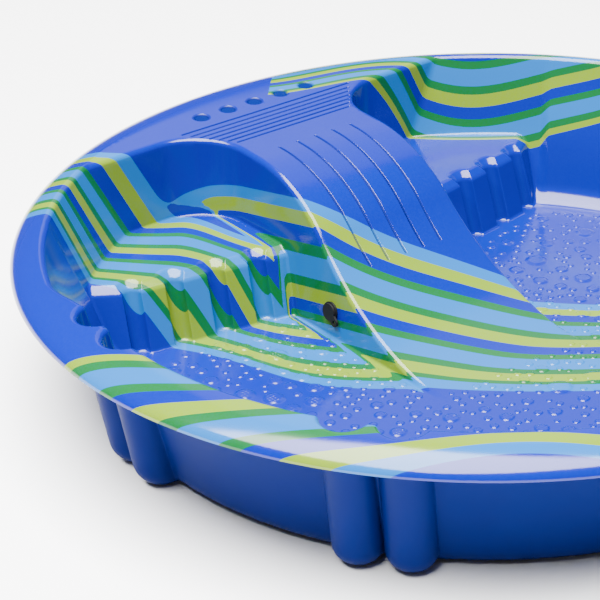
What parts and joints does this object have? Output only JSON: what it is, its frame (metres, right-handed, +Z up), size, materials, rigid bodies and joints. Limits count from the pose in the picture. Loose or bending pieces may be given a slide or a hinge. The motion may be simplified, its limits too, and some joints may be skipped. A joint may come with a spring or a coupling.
{
  "type": "wading pool with slide",
  "caption": "Round rigid wading pool formed from one sheet, with a broad rolled rim, a built-in slide, two bench seats and a drain plug.",
  "frame": {"origin": "centre of the round basin, on the ground", "axes": "+Z up; +X runs down the slide from the deck to the toe; +Y to the right bench"},
  "size_m": [1.5198, 1.5198, 0.262],
  "materials": {
    "sheet": "glossy inside, printed with wavy bands",
    "fitting": "black moulded plastic",
    "gasket": "soft black rubber",
    "plug": "soft black vinyl"
  },
  "bodies": {
    "pool": {"rim": "sheet", "front_wall": "sheet", "left_side_wall": "sheet", "right_side_wall": "sheet", "left_front_pockets": "sheet", "right_front_pockets": "sheet", "left_mid_pockets": "sheet", "right_mid_pockets": "sheet", "left_rear_pockets": "sheet", "right_rear_pockets": "sheet", "floor_pan": "sheet", "left_bench_top": "sheet", "right_bench_top": "sheet", "left_bench_front": "sheet", "right_bench_front": "sheet", "deck": "sheet", "left_shoulder": "sheet", "right_shoulder": "sheet", "slide_lane": "sheet", "left_flank": "sheet", "right_flank": "sheet", "drain_bush": "fitting", "drain_gasket": "gasket", "drain_nut": "fitting"},
    "plug": {"drain_plug": "plug"}
  },
  "joints": [
    {"name": "plug_pull", "type": "slide", "parent": "pool", "child": "plug", "axis": [0, -0.9962, 0.0872], "range_m": [0, 0.03]}
  ]
}
